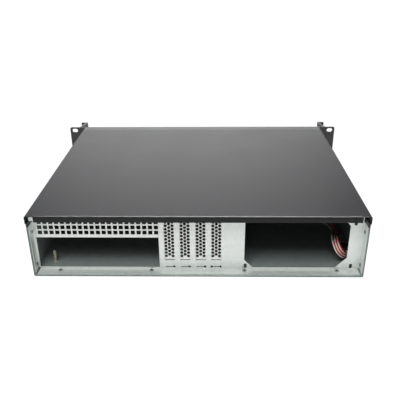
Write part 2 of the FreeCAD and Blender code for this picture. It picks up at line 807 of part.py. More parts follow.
for z in face_screw_z:
    circle(side_holes, face_return / 2, z, screw_shank + hole_gap)
cut_through(face, side_holes)
group("front_panel_screws", [
    screw("face_screw_%d%s" % (i, "rl"[side < 0]), (half * side, face_screw_y, z),
          TO_RIGHT if side > 0 else TO_LEFT)
    for i, z in enumerate(face_screw_z, 1) for side in (1, -1)])

# ---------------------------------------------------------------- handles
handle_z = centre_z - handle_height / 2
grip_back = handle_reach - handle_thick
web = handle_thick * 1.1
for name, side in (("handle_right", 1), ("handle_left", -1)):
    handle = new_body(name, 0, face_y, handle_z)
    plan = new_sketch(handle, "XY_Plane")
    outline(plan, [(handle_foot_in * side, 0), (handle_foot_out * side, 0),
                   (handle_foot_out * side, -handle_thick),
                   ((handle_front_in + web) * side, -grip_back),
                   (handle_front_out * side, -grip_back),
                   (handle_front_out * side, -handle_reach),
                   (handle_front_in * side, -handle_reach),
                   ((handle_foot_out - web) * side, -handle_thick),
                   (handle_foot_in * side, -handle_thick)])
    pad(handle, plan, handle_height)
    round_edges(handle, handle_thick * 0.45,
                lambda c, run: abs(run.z) > 0.9 and close(c.y, -handle_reach))
    bores = new_sketch(handle)
    for rise in (1, -1):
        circle(bores, handle_screw_x * side,
               handle_height / 2 + handle_screw_span / 2 * rise, screw_shank + hole_gap)
    cut(handle, bores, handle_thick, True)
group("handle_screws", [
    screw("handle_screw_%d" % i, (handle_screw_x * side, front_y,
                                  centre_z + handle_screw_span / 2 * rise), TO_REAR)
    for i, (side, rise) in enumerate([(1, 1), (1, -1), (-1, 1), (-1, -1)], 1)])

# ---------------------------------------------------------------- intake fan
fan_y = front_y + seat
duct = new_body("fan_frame", fan_x, fan_y, centre_z)
square = new_sketch(duct)
rectangle(square, -fan_size / 2, fan_size / 2, -fan_size / 2, fan_size / 2)
pad(duct, square, fan_depth, True)
round_edges(duct, fan_corner, lambda c, run: abs(run.y) > 0.9)
bore = new_sketch(duct)
circle(bore, 0, 0, fan_bore)
for side in (1, -1):
    for rise in (1, -1):
        circle(bore, fan_hole_span / 2 * side, fan_hole_span / 2 * rise,
               screw_shank + hole_gap)
cut_through(duct, bore)
strut_away = -(fan_depth - strut_thick)
motor = new_sketch(duct, "XZ_Plane", strut_away)
circle(motor, 0, 0, hub_radius)
pad(duct, motor, strut_thick, True)
for wide, tall in ((fan_bore + metal, strut_width / 2), (strut_width / 2, fan_bore + metal)):
    strut = new_sketch(duct, "XZ_Plane", strut_away)
    rectangle(strut, -wide, wide, -tall, tall)
    pad(duct, strut, strut_thick, True)
bearing = new_sketch(duct)
circle(bearing, 0, 0, spindle_radius + hole_gap)
cut_through(duct, bearing)
group("fan_screws", [
    screw("fan_screw_%d" % i, (fan_x + fan_hole_span / 2 * side, face_y,
                               centre_z + fan_hole_span / 2 * rise), TO_FRONT)
    for i, (side, rise) in enumerate([(1, 1), (1, -1), (-1, 1), (-1, -1)], 1)])

rotor_deep = number(fan_depth - strut_thick - rotor_gap * 2)
tip = number(fan_bore - blade_gap)


def blade_wire(height, pitch, sweep):
    """A flat section of a blade, `height` from the axis: a thin slanted strip."""
    half_run = rotor_deep * 0.42
    rise = half_run / math.tan(math.radians(pitch))
    corners = [Vector(sweep + along * rise + side * 0.7, along * half_run, height)
               for along, side in ((-1, -1), (1, -1), (1, 1), (-1, 1))]
    return Part.makePolygon(corners + corners[:1])


def spun_disc(radius, start, deep):
    return Part.makeCylinder(radius, deep, Vector(0, start, 0), Vector(0, 1, 0))


hub = spun_disc(number(hub_radius), -rotor_deep / 2, rotor_deep)
spindle = spun_disc(number(spindle_radius), 0, rotor_deep / 2 + number(rotor_gap + strut_thick) - 0.5)
swept = spun_disc(tip, -rotor_deep / 2, rotor_deep)
blades = []
for step in range(int(number(blade_count))):
    blade = Part.makeLoft([blade_wire(number(hub_radius) * 0.6, 52, 0),
                           blade_wire((number(hub_radius) + tip) / 2, 42, 2),
                           blade_wire(tip + 1, 34, 5)], True).common(swept)
    blade.rotate(Vector(), Vector(0, 1, 0), 360.0 * step / number(blade_count))
    blades.append(blade)
rotor = doc.addObject("Part::Feature", "fan_rotor")
rotor.Label = "fan_rotor"
rotor.Shape = hub.fuse([spindle] + blades).removeSplitter()
place(rotor, fan_x, fan_y + (fan_depth - strut_thick) / 2, centre_z)

# ---------------------------------------------------------------- drive bay
cage = new_body("drive_cage", -bay_x, cage_rear, 0)
cage_top = bay_bottom + bay_height + metal
wall_in = cage_half - metal
foot_in = cage_half - cage_foot
hat = new_sketch(cage)
right = [(foot_in, floor_top), (cage_half, floor_top), (cage_half, cage_top)]
left = [(-x, z) for x, z in reversed(right)]
inside = [(-foot_in, floor_top + metal), (-wall_in, floor_top + metal),
          (-wall_in, bay_bottom - metal), (-(wall_in - cage_shelf), bay_bottom - metal),
          (-(wall_in - cage_shelf), bay_bottom), (-wall_in, bay_bottom),
          (-wall_in, cage_top - metal)]
outline(hat, right + left + inside + [(-x, z) for x, z in reversed(inside)])
pad(cage, hat, cage_depth)
cage_slots = new_sketch(cage, "YZ_Plane")
for y in (cage_end * 1.5, cage_depth - cage_end * 1.5):
    round_slot(cage_slots, -y, bay_bottom + cage_slot_rise, ear_slot_length,
               psu_slot_width)
cut_through(cage, cage_slots)
cage_holes = new_sketch(cage, "XY_Plane")
for x, y in cage_rivets:
    circle(cage_holes, x + bay_x, y - cage_rear, rivet_shank + hole_gap)
cut(cage, cage_holes, floor_top + metal * 2, True)

cover = new_body("bay_cover", -bay_x, face_y, bay_bottom + bay_height / 2)
rim = new_sketch(cover)
rectangle(rim, -(bay_width / 2 + bay_lap), bay_width / 2 + bay_lap,
          -(bay_height / 2 + bay_lap), bay_height / 2 + bay_lap)
pad(cover, rim, bay_rim)
round_edges(cover, bay_rim, lambda c, run: abs(run.y) > 0.9)
plug = new_sketch(cover)
rectangle(plug, -(bay_width / 2 - fit), bay_width / 2 - fit,
          -(bay_height / 2 - fit), bay_height / 2 - fit)
rectangle(plug, -(bay_width / 2 - fit - bay_rim), bay_width / 2 - fit - bay_rim,
          -(bay_height / 2 - fit - bay_rim), bay_height / 2 - fit - bay_rim)
pad(cover, plug, face_thick + metal, True)
legs = new_sketch(cover)
for side in (1, -1):
    ends = sorted([(bay_width / 2 - fit) * side, (bay_width / 2 - fit - bay_rim) * side],
                  key=number)
    rectangle(legs, *ends, -bay_height / 4, bay_height / 4)
pad(cover, legs, bay_leg, True)

# ---------------------------------------------------------------- control group
board_front_y = front_y + board_gap


def along_rear(thing, x, y, z):
    """Stand a part built along its own Z axis so that it points to the rear."""
    return place(thing, x, y, z, TO_REAR)


def button(label, radius, z):
    """A push button: cap through the panel, collar behind it, stem to the switch."""
    reach = button_proud + face_thick
    cap = cylinder(label + "_cap", radius, reach + button_gap)
    ring = cylinder(label + "_collar", radius + collar, collar, reach + button_gap)
    stem_end = reach + board_gap - switch_deep - button_travel - button_gap
    stem = cylinder(label + "_stem", reset_radius * 0.7, stem_end)
    whole = fuse(label, [cap, ring, stem])
    whole.Label = label
    return along_rear(whole, -control_x, face_y - button_proud, z)


button("power_button", power_radius, power_height)
button("reset_button", reset_radius, reset_height)

spacer_places = [(board_width / 2 - 4, board_high - 4), (4 - board_width / 2, reset_height - 8)]
control = new_body("control_board", -control_x, board_front_y, 0)
card = new_sketch(control)
rectangle(card, -board_width / 2, board_width / 2, board_low, board_high)
for x, z in spacer_places:
    circle(card, x, z, screw_shank + hole_gap)
pad(control, card, board_thick, True)
group("push_switches", [
    box("push_switch_%d" % i, -control_x - switch_side / 2, board_front_y - switch_deep,
        z - switch_side / 2, switch_side, switch_deep, switch_side)
    for i, z in enumerate((power_height, reset_height), 1)])
group("indicator_lights", [
    along_rear(cylinder("light_%d" % i, light_radius, face_thick + board_gap + seat * 4),
               -control_x + light_span / 2 * side, face_y - seat * 4, light_height)
    for i, side in enumerate((1, -1), 1)])
spacers = []
for i, (x, z) in enumerate(spacer_places, 1):
    post = cylinder("spacer_post_%d" % i, screw_head, board_gap)
    core = cylinder("spacer_core_%d" % i, screw_shank + hole_gap, board_gap)
    spacer = doc.addObject("Part::Cut", "spacer_%d" % i)
    spacer.Base = post
    spacer.Tool = core
    spacers.append(along_rear(spacer, x - control_x, front_y, z))
group("board_spacers", spacers)
group("board_screws", [
    screw("board_screw_%d" % i, (x - control_x, board_front_y + board_thick, z), TO_REAR)
    for i, (x, z) in enumerate(spacer_places, 1)])

ports = []
usb_wall = metal * 0.5
usb_deep = face_thick + board_gap + seat * 2
for i, z in enumerate(usb_places, 1):
    left_x = -control_x - usb_width / 2
    shell = box("usb_shell_%d" % i, left_x, face_y - seat * 2, z - usb_tall / 2,
                usb_width, usb_deep, usb_tall)
    hollow = box("usb_hollow_%d" % i, left_x + usb_wall, face_y - seat * 2,
                 z - usb_tall / 2 + usb_wall, usb_width - usb_wall * 2, usb_deep - metal,
                 usb_tall - usb_wall * 2)
    socket = doc.addObject("Part::Cut", "usb_socket_%d" % i)
    socket.Base = shell
    socket.Tool = hollow
    leaf = box("usb_leaf_%d" % i, left_x + metal, face_y, z, usb_width - metal * 2,
               usb_deep - metal, metal * 1.5)
    ports.append(fuse("usb_port_%d" % i, [socket, leaf]))
group("usb_ports", ports)

# ---------------------------------------------------------------- board supports
standoffs = []
for i, (x, y) in enumerate(board_holes, 1):
    prism = doc.addObject("Part::Prism", "standoff_hex_%d" % i)
    prism.Polygon = 6
    bind(prism, "Circumradius", standoff_radius)
    bind(prism, "Height", standoff_height)
    core = cylinder("standoff_core_%d" % i, screw_shank, standoff_height)
    nut = doc.addObject("Part::Cut", "standoff_%d" % i)
    nut.Base = prism
    nut.Tool = core
    standoffs.append(place(nut, x, y, metal))
group("board_standoffs", standoffs)

post_tip = post_radius * 1.5
post = fuse("support_post", [
    cone("post_base", post_radius * 1.6, post_radius * 1.1, metal * 1.2),
    cylinder("post_pin", post_radius, post_height - post_tip),
    cone("post_barb", post_radius * 1.3, post_radius * 0.5, post_tip, post_height - post_tip)])
post.Label = "support_post"
place(post, post_x, rear_y - post_y, metal)

# ---------------------------------------------------------------- rivets
rivets = []
for i, x in enumerate(floor_rivets, 1):
    rivets.append(rivet("floor_rivet_%d" % i, (x, rear_rivet_y, panel_low + metal), UP))
for i, z in enumerate(side_rivets, 1):
    for side, facing in ((1, TO_LEFT), (-1, TO_RIGHT)):
        at = ((flange_side - metal) * side, rear_rivet_y, z)
        rivets.append(rivet("side_rivet_%d%s" % (i, "rl"[side < 0]), at, facing))
for i, (x, y) in enumerate(cage_rivets, 1):
    rivets.append(rivet("cage_rivet_%d" % i, (x, y, floor_top + metal), UP))
group("rivets", rivets)

# ---------------------------------------------------------------- lead bundle
lead_radius = 3.75
lead_route = [(-18, -144.9, 30), (-18, -128, 30), (-21, -106, 22), (-28, -80, 9),
              (-34, -50, 5.2), (-37, -12, 5), (-62, 24, 5), (-106, 36, 5), (-152, 31, 5),
              (-186, 36, 5), (-200, 56, 5), (-203, 82, 6), (-196, 106, 14), (-188.5, 128, 26),
              (-184, 147, 35), (-183, 159, 31.5), (-186, 166, 24), (-193, 164.5, 15.5),
              (-201.5, 158, 9), (-206, 147, 4.9), (-206, 136, 4.9)]


def lead_path(points):
    """Straight runs joined by tangent arcs, with the arcs' radii."""
    corners = [Vector(*p) for p in points]
    edges = []
    radii = []
    last = corners[0]
    for before, here, after in zip(corners, corners[1:], corners[2:]):
        coming = (here - before).normalize()
        going = (after - here).normalize()
        half_turn = coming.getAngle(going) / 2
        cut_back = 0.45 * min((here - before).Length, (after - here).Length)
        radii.append(cut_back / math.tan(half_turn))
        start = here - coming * cut_back
        end = here + going * cut_back
        toward = (going - coming).normalize()
        middle = here + toward * (radii[-1] / math.cos(half_turn) - radii[-1])
        edges.append(Part.LineSegment(last, start).toShape())
        edges.append(Part.Arc(start, middle, end).toShape())
        last = end
    edges.append(Part.LineSegment(last, corners[-1]).toShape())
    return Part.Wire(edges), radii


lead_wire, lead_radii = lead_path(lead_route)
lead_start = Vector(*lead_route[0])
lead_ring = Part.Wire(Part.makeCircle(lead_radius, lead_start,
                                      Vector(*lead_route[1]) - lead_start))
lead_shape = lead_wire.makePipeShell([lead_ring], True, False)
if abs(lead_shape.Volume / (math.pi * lead_radius ** 2 * lead_wire.Length) - 1) > 0.01:
    raise RuntimeError("the lead bundle's tube crosses itself")
leads = doc.addObject("Part::Feature", "lead_bundle")
leads.Label = "lead_bundle"
leads.Shape = lead_shape
print("lead radii", [round(r, 1) for r in lead_radii], "length", round(lead_wire.Length, 1),
      "volume share", round(lead_shape.Volume
                            / (math.pi * lead_radius ** 2 * lead_wire.Length), 4))

plug_at = Vector(*lead_route[-1])
lead_plug = new_body("lead_plug", plug_at.x, plug_at.y, 0)
shell = new_sketch(lead_plug)
rectangle(shell, -plug_width / 2, plug_width / 2, floor_top, floor_top + plug_tall)
pad(lead_plug, shell, plug_long)
sockets = new_sketch(lead_plug, "XZ_Plane", plug_long)
for across in (-1.5, -0.5, 0.5, 1.5):
    for up in (-0.5, 0.5):
        x = plug_pitch * across
        z = floor_top + plug_tall / 2 + plug_pitch * up
        rectangle(sockets, x - plug_socket / 2, x + plug_socket / 2,
                  z - plug_socket / 2, z + plug_socket / 2)
cut(lead_plug, sockets, plug_long * 0.5, True)

# ---------------------------------------------------------------- check and write
doc.recompute()
made = [o for o in doc.Objects
        if o.TypeId == "PartDesign::Body" or o.TypeId == "Part::Compound"
        or o.Label in ("power_button", "reset_button", "support_post", "fan_rotor",
                       "lead_bundle")]
for thing in doc.Objects:
    if "Invalid" in thing.State or "Error" in thing.State:
        raise RuntimeError(thing.Label + " failed: " + str(thing.State))
for thing in made:
    if thing.Shape.isNull() or not thing.Shape.isValid():
        raise RuntimeError(thing.Label + " has no valid shape")
os.makedirs("parts", exist_ok=True)
for thing in made:
    thing.Shape.exportStep("parts/" + thing.Label + ".step")
    print(thing.Label, len(thing.Shape.Solids), round(thing.Shape.Volume, 1))
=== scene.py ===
# %% [markdown]
# # A low rack case in folded sheet metal, dressed in Blender
# The solids come from the CAD model as a fixed frame, in metres, with Z up and Y to the rear.
# This file adds what CAD leaves out: finishes, screw recesses, the thin leads and the light.
# It goes piece by piece, so that each cell can be run and looked at on its own.

import bpy
import math
import numpy as np
from mathutils import Matrix, Vector


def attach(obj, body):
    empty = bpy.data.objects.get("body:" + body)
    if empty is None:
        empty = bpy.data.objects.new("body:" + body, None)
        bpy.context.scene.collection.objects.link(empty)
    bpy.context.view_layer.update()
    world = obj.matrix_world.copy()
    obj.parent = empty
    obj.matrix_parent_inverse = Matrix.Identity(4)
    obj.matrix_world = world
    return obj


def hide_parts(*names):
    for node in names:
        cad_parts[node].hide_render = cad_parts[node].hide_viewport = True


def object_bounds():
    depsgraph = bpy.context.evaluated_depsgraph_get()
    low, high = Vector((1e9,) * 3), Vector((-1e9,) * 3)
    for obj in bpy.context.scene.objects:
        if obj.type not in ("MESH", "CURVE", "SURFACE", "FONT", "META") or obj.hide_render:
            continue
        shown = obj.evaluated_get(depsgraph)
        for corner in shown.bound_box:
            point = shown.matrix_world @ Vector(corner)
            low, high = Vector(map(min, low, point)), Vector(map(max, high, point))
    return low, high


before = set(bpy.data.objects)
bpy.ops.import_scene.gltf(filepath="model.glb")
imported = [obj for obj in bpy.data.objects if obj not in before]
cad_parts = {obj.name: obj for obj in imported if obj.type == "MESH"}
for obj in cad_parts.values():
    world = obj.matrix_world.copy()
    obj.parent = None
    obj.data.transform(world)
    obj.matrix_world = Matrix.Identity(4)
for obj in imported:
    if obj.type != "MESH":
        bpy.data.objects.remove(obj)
cad_box = [list(corner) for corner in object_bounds()]
MM = 0.001
print("nodes:", len(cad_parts), "box:", cad_box)

# %% [markdown]
# ## The camera
# The case is seen from behind and a little above, with the rear panel towards us.
# A camera is placed by its own three axes: right, up and backwards. The view direction comes
# from a turn about Z and a tilt down, and the small roll is added by mixing right and down.

# %% Camera
CAMERA_AT = Vector((-17.7, 768.8, 391.1)) * MM
LENS, SENSOR = 47.55, 36
turn, tilt, roll = (math.radians(a) for a in (-1.366, 25.991, 0.556))
forward = Vector((-math.sin(turn) * math.cos(tilt), -math.cos(turn) * math.cos(tilt),
                  -math.sin(tilt)))
level_right = Vector((-math.cos(turn), math.sin(turn), 0))
level_down = forward.cross(level_right)
right = level_right * math.cos(roll) + level_down * math.sin(roll)
down = level_down * math.cos(roll) - level_right * math.sin(roll)
camera_data = bpy.data.cameras.new("camera")
camera_data.lens = LENS
camera_data.sensor_width = SENSOR
camera = bpy.data.objects.new("camera", camera_data)
axes = Matrix((right, -down, -forward)).transposed()
camera.matrix_world = Matrix.Translation(CAMERA_AT) @ axes.to_4x4()
bpy.context.scene.collection.objects.link(camera)
bpy.context.scene.camera = camera
print("camera at", [round(v, 3) for v in CAMERA_AT])

# %% [markdown]
# ## The leads of the front controls
# Thin stranded leads run from the control board at the front to the rear corner of the case,
# stand up there in a small loop and end in a plug. They are limp and lie side by side.
# The route is a smooth curve drawn by a few control points. Each lead is then a thin round
# tube that keeps its own place beside that curve and wanders a little on the way. One curve
# per lead would work too, but a shared route keeps the row together.

# %% Route of the leads
# Points in millimetres, from the board to the plug.
LEAD_ROUTE = [(-18, -144.9, 30), (-18, -128, 30), (-21, -106, 22), (-28, -80, 9),
              (-34, -50, 5.2), (-37, -12, 5), (-62, 24, 5), (-106, 36, 5), (-152, 31, 5),
              (-186, 36, 5), (-200, 56, 5), (-203, 82, 6), (-196, 106, 14), (-188.5, 128, 26),
              (-184, 147, 35), (-183, 159, 31.5), (-186, 166, 24), (-193, 164.5, 15.5),
              (-201.5, 158, 9), (-206, 147, 4.9), (-206, 136, 4.9)]
# Heights in millimetres: points under ON_FLOOR lie on the floor, and go down by LOWER.
ON_FLOOR = 7
LOWER = 3.05


def laid(points):
    """The route of a flat row, which lies lower on the floor than a round bundle's middle."""
    lower = [(x, y, z - LOWER if z < ON_FLOOR else z) for x, y, z in points]
    return lower[:-1] + points[-1:]


def smooth_line(points, steps=12):
    """Points along a smooth curve (quadratic NURBS) with these control points, in metres."""
    data = bpy.data.curves.new("route", "CURVE")
    data.dimensions = "3D"
    spline = data.splines.new("NURBS")
    spline.points.add(len(points) - 1)
    spline.points.foreach_set("co", [v for p in points for v in (*(c * MM for c in p), 1)])
    spline.order_u = 3
    spline.use_endpoint_u = True
    spline.resolution_u = steps
    holder = bpy.data.objects.new("route", data)
    mesh = bpy.data.meshes.new_from_object(holder)
    line = np.empty(len(mesh.vertices) * 3)
    mesh.vertices.foreach_get("co", line)
    bpy.data.objects.remove(holder)
    bpy.data.meshes.remove(mesh)
    return line.reshape(-1, 3)


lead_line = smooth_line(laid(LEAD_ROUTE))

# %% [markdown]
# ### From a line to a tube
# A tube is a ring carried along a line. The ring needs two directions across the line at each
# point, and these are carried from point to point without twist, so the tube doesn't wring.

# %% Tubes beside a line
def unit(vectors):
    """The same directions, each one long."""
    return vectors / np.linalg.norm(vectors, axis=-1, keepdims=True)


def side_vectors(line):
    """Two directions across a line at each of its points, carried along without twist."""
    along = unit(np.gradient(line, axis=0))
    across = np.empty_like(along)
    across[0] = unit(np.cross(along[0], (0, 0, 1)))
    for i in range(1, len(line)):
        across[i] = unit(across[i - 1] - along[i] * across[i - 1].dot(along[i]))
    return across, np.cross(along, across)


def tube_grid(line, radius, sides=8):
    """A round tube: ring angle a gives centre + radius * (cos a * across + sin a * over)."""
    across, over = side_vectors(line)
    angle = np.linspace(0, 2 * np.pi, sides, endpoint=False)[None, :, None]
    ring = np.cos(angle) * across[:, None] + np.sin(angle) * over[:, None]
    return line[:, None] + radius * ring


def grid_faces(rows, columns, start=0):
    """Quads of a grid whose columns close on themselves, facing outwards."""
    i, j = np.meshgrid(np.arange(rows - 1), np.arange(columns), indexing="ij")
    k = (j + 1) % columns
    quads = np.stack([i * columns + j, i * columns + k, (i + 1) * columns + k,
                      (i + 1) * columns + j], axis=-1)
    return (quads.reshape(-1, 4) + start).tolist()


def new_piece(name, points, faces, smooth=True):
    """A mesh object at the origin, with its place in its points."""
    mesh = bpy.data.meshes.new(name)
    mesh.from_pydata(np.asarray(points).reshape(-1, 3).tolist(), [], faces)
    mesh.polygons.foreach_set("use_smooth", [smooth] * len(mesh.polygons))
    mesh.update()
    piece = bpy.data.objects.new(name, mesh)
    bpy.context.scene.collection.objects.link(piece)
    return piece


print("points in a tube:", tube_grid(lead_line, MM)[..., 0].size)

# %% [markdown]
# ### The row of leads
# Six leads lie side by side, red and white in turn. On the floor the row is flat, and where it
# stands up it may turn. So the first direction across the line is levelled where it runs low.

# %% Places in the row
LEAD_RADIUS = 0.8 * MM
LEAD_PITCH = 1.65 * MM
LEAD_COLOURS = ["red", "white"] * 3
WANDER = 0.1 * MM
WAVES = 5.3


def flat_when_low(line, low=5 * MM, high=13 * MM):
    """Side vectors whose first one is turned level where the line runs low.

    The turn is atan2(level . over, level . across), from none above `high` to full at `low`.
    """
    across, over = side_vectors(line)
    level = unit(np.cross(np.gradient(line, axis=0), (0, 0, 1)))
    turn = np.arctan2((level * over).sum(1), (level * across).sum(1))
    turn = (turn + np.pi / 2) % np.pi - np.pi / 2
    turn = (turn * np.clip((high - line[:, 2]) / (high - low), 0, 1))[:, None]
    return (np.cos(turn) * across + np.sin(turn) * over,
            np.cos(turn) * over - np.sin(turn) * across)


def lead_lines(line, count):
    """Lines side by side, a pitch apart: line + (p - middle) * pitch * across + lift * over.

    The lift is a slow sine along the line, with its own number of waves and phase for each p.
    """
    across, over = flat_when_low(line)
    share = np.linspace(0, 1, len(line))[:, None]
    for p in range(count):
        place = (p - (count - 1) / 2) * LEAD_PITCH
        waves, phase = WAVES + 0.21 * p, p * 0.41
        lift = WANDER * np.sin(2 * np.pi * (share * waves + phase))
        yield line + place * across + lift * over


print("width of the row:", round(LEAD_PITCH * len(LEAD_COLOURS), 4))

# %% The leads themselves
def lay_leads():
    """One mesh of all the tubes with their ends closed, and each face's number in the row."""
    points, faces, lead_of = [], [], []
    sides = 8
    for p, line in enumerate(lead_lines(lead_line, len(LEAD_COLOURS))):
        grid = tube_grid(line, LEAD_RADIUS, sides)
        start = len(points) * len(line) * sides
        tube = grid_faces(len(line), sides, start)
        tube.append([start + j for j in reversed(range(sides))])
        tube.append([start + (len(line) - 1) * sides + j for j in range(sides)])
        points.append(grid)
        faces += tube
        lead_of += [p] * len(tube)
    return new_piece("leads", np.array(points), faces), lead_of


leads, lead_of_face = lay_leads()
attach(leads, "case")
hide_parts("lead_bundle")
print("leads:", len(LEAD_COLOURS), "faces:", len(leads.data.polygons))

# %% [markdown]
# ## Building materials from nodes
# One helper adds a shader node with its settings and inputs, and another starts a node group.
# A group is an effect that several finishes share. It gives out numbers or colours only, and
# each finish feeds them to its own Principled shader.

# %% Node helpers
def add(tree, kind, inputs=None, **settings):
    """One shader node; an input is a value or another node's output."""
    node = tree.nodes.new("ShaderNode" + kind)
    for name, value in settings.items():
        setattr(node, name, value)
    for key, value in (inputs or {}).items():
        if isinstance(value, bpy.types.NodeSocket):
            tree.links.new(value, node.inputs[key])
        else:
            node.inputs[key].default_value = value
    return node


def new_group(name, inputs, outputs):
    """An empty node group with float or vector inputs and float outputs."""
    tree = bpy.data.node_groups.new(name, "ShaderNodeTree")
    for label, value in inputs.items():
        kind = "NodeSocketVector" if value is None else "NodeSocketFloat"
        socket = tree.interface.new_socket(label, in_out="INPUT", socket_type=kind)
        if value is not None:
            socket.default_value = value
    for label in outputs:
        tree.interface.new_socket(label, in_out="OUTPUT", socket_type="NodeSocketFloat")
    return tree, tree.nodes.new("NodeGroupInput").outputs, tree.nodes.new("NodeGroupOutput")


def math_node(tree, operation, *values):
    """The result of a Math node on numbers or outputs."""
    return add(tree, "Math", dict(enumerate(values)), operation=operation).outputs[0]


def remap(tree, value, low, high, to_low=0.0, to_high=1.0):
    """A value moved from the range low..high to to_low..to_high, and held at its ends."""
    return add(tree, "MapRange", {0: value, 1: low, 2: high, 3: to_low, 4: to_high}).outputs[0]


# %% [markdown]
# ### Zinc bloom
# Zinc-coated sheet freezes into crystals a few millimetres wide. Each one reflects a little
# differently, and the rolling of the steel leaves faint long lines. Cells of a Voronoi pattern,
# pushed about by noise, give the crystals, and noise stretched along X gives the lines. Shade
# is a factor near 1 for the colour, and Rough a small change of roughness either way.

# %% Zinc bloom group
PUSH = 6 * MM
CELL_SHARE, LINE_SHARE = 0.7, 0.6


def make_zinc_bloom():
    """Shade is 1 + depth * (shares of cell and line, less their middle); Rough is the cell's."""
    tree, given, result = new_group(
        "zinc_bloom", {"Vector": None, "Cells": 170.0, "Depth": 0.1}, ["Shade", "Rough"])
    push = add(tree, "TexNoise", {"Vector": given["Vector"], "Scale": 120.0, "Detail": 2.0})
    shift = add(tree, "VectorMath", {0: push.outputs["Color"], 1: (-0.5, -0.5, -0.5)})
    small = add(tree, "VectorMath", {0: shift.outputs[0], "Scale": PUSH}, operation="SCALE")
    place = add(tree, "VectorMath", {0: given["Vector"], 1: small.outputs[0]})
    cells = add(tree, "TexVoronoi", {"Vector": place.outputs[0], "Scale": given["Cells"]})
    tone = add(tree, "RGBToBW", {0: cells.outputs["Color"]}).outputs[0]
    stretch = add(tree, "Mapping", {"Vector": given["Vector"], "Scale": (6, 500, 500)})
    lines = add(tree, "TexNoise", {"Vector": stretch.outputs[0], "Scale": 1.0, "Detail": 3.0})
    mixed = math_node(tree, "ADD", math_node(tree, "MULTIPLY", tone, CELL_SHARE),
                      math_node(tree, "MULTIPLY", lines.outputs[0], LINE_SHARE))
    middle = (CELL_SHARE + LINE_SHARE) / 2
    swing = math_node(tree, "MULTIPLY", math_node(tree, "SUBTRACT", mixed, middle), given["Depth"])
    tree.links.new(math_node(tree, "ADD", swing, 1.0), result.inputs["Shade"])
    tree.links.new(remap(tree, tone, 0.2, 0.8, -0.5, 0.5), result.inputs["Rough"])
    return tree


zinc_bloom = make_zinc_bloom()
print("group:", zinc_bloom.name)

# %% [markdown]
# ### Grain
# Paint and moulded plastic have a fine uneven skin. Two sizes of noise give a height for the
# bump and a slow change that lets gloss and colour drift over the surface.

# %% Grain group
def make_grain():
    """Height is the fine noise; Drift is the slow one, spread from -0.5 to 0.5."""
    tree, given, result = new_group("grain", {"Vector": None, "Fine": 1500.0, "Slow": 18.0},
                                    ["Height", "Drift"])
    fine = add(tree, "TexNoise", {"Vector": given["Vector"], "Scale": given["Fine"],
                                  "Detail": 3.0, "Roughness": 0.6})
    slow = add(tree, "TexNoise", {"Vector": given["Vector"], "Scale": given["Slow"],
                                  "Detail": 4.0, "Roughness": 0.55})
    tree.links.new(fine.outputs[0], result.inputs["Height"])
    tree.links.new(remap(tree, slow.outputs[0], 0.3, 0.7, -0.5, 0.5), result.inputs["Drift"])
    return tree


grain = make_grain()
print("group:", grain.name)

# %% [markdown]
# ### Rubbed edges and painted edge highlights
# Edges lose their paint first, and they catch the light. The band stands for both: rubbed wear
# and a painted highlight. The Bevel node turns the normal near an edge, so the difference
# between that normal and the flat one marks a thin band along every edge.

# %% Edge group
WEAR_AND_HIGHLIGHT_WIDTH = 0.6 * MM
FLAT, EDGE = 0.995, 0.8


def make_edge_band():
    """Band is 0 where the two normals' dot product is FLAT and 1 where it is down to EDGE."""
    tree, given, result = new_group("edge_band", {"Vector": None, "Width": WEAR_AND_HIGHLIGHT_WIDTH}, ["Band"])
    soft = add(tree, "Bevel", {"Radius": given["Width"]}, samples=4)
    flat = add(tree, "NewGeometry").outputs["Normal"]
    same = add(tree, "VectorMath", {0: soft.outputs[0], 1: flat}, operation="DOT_PRODUCT")
    band = remap(tree, same.outputs["Value"], FLAT, EDGE)
    break_up = add(tree, "TexNoise", {"Vector": given["Vector"], "Scale": 300.0, "Detail": 2.0})
    broken = math_node(tree, "MULTIPLY", band, remap(tree, break_up.outputs[0], 0.35, 0.6))
    tree.links.new(broken, result.inputs["Band"])
    return tree


edge_band = make_edge_band()
print("group:", edge_band.name)

# %% [markdown]
# ## The finishes
# Every finish starts in the same way: Object coordinates, a Principled shader and its output.
# Colours are written in linear light, so a mid grey of 0.2 shows as about half brightness.

# %% Start of a finish
def start_finish(name, roughness, metallic=0.0, **plain):
    """A new material; gives its tree, its shader and its Object coordinates."""
    material = bpy.data.materials.new(name)
    material.use_nodes = True
    tree = material.node_tree
    tree.nodes.clear()
    shader = add(tree, "BsdfPrincipled", {"Roughness": roughness, "Metallic": metallic})
    for socket, value in plain.items():
        shader.inputs[socket.replace("_", " ")].default_value = value
    output = tree.nodes.new("ShaderNodeOutputMaterial")
    tree.links.new(shader.outputs[0], output.inputs[0])
    return material, tree, shader, add(tree, "TexCoord").outputs["Object"]


def shaded(tree, colour, shade):
    """A colour made lighter or darker by a number."""
    return add(tree, "VectorMath", {0: colour[:3], "Scale": shade}, operation="SCALE").outputs[0]


def raise_skin(tree, shader, height, strength, distance, soft=0.0):
    """Bump from a height; `soft` rounds the shading of edges by this radius."""
    bump = add(tree, "Bump", {"Height": height, "Strength": strength, "Distance": distance})
    if soft:
        edge = add(tree, "Bevel", {"Radius": soft}, samples=8)
        tree.links.new(edge.outputs[0], bump.inputs["Normal"])
    tree.links.new(bump.outputs[0], shader.inputs["Normal"])


# %% [markdown]
# ### Zinc-coated steel
# The base, the rear panel and the slot covers are cut from coated sheet, so the coating is on
# its faces and the cut edges are bare steel. Their dark colour is partly that bare steel and
# partly painted shade, in the holes and along the rim. Two masks find the edges by their place:
# the rim of the case is furthest to the rear, and the walls of a plate's holes face sideways
# and lie no further out than the plate. In a blind rivet's bore, ambient occlusion darkens the
# colour: painted shade.

# %% Zinc-coated steel
REAR_EDGE = cad_box[1][1]
PANEL_FACE = REAR_EDGE - 15.5 * MM
COVER_FACE = PANEL_FACE - 1.1 * MM
# Bare steel of the cut edges, darkened further as painted shade in the holes and on the rim.
BARE_STEEL_AND_SHADE = (0.05, 0.04, 0.035, 1)
BARE_AND_SHADE_SHARE = 0.8


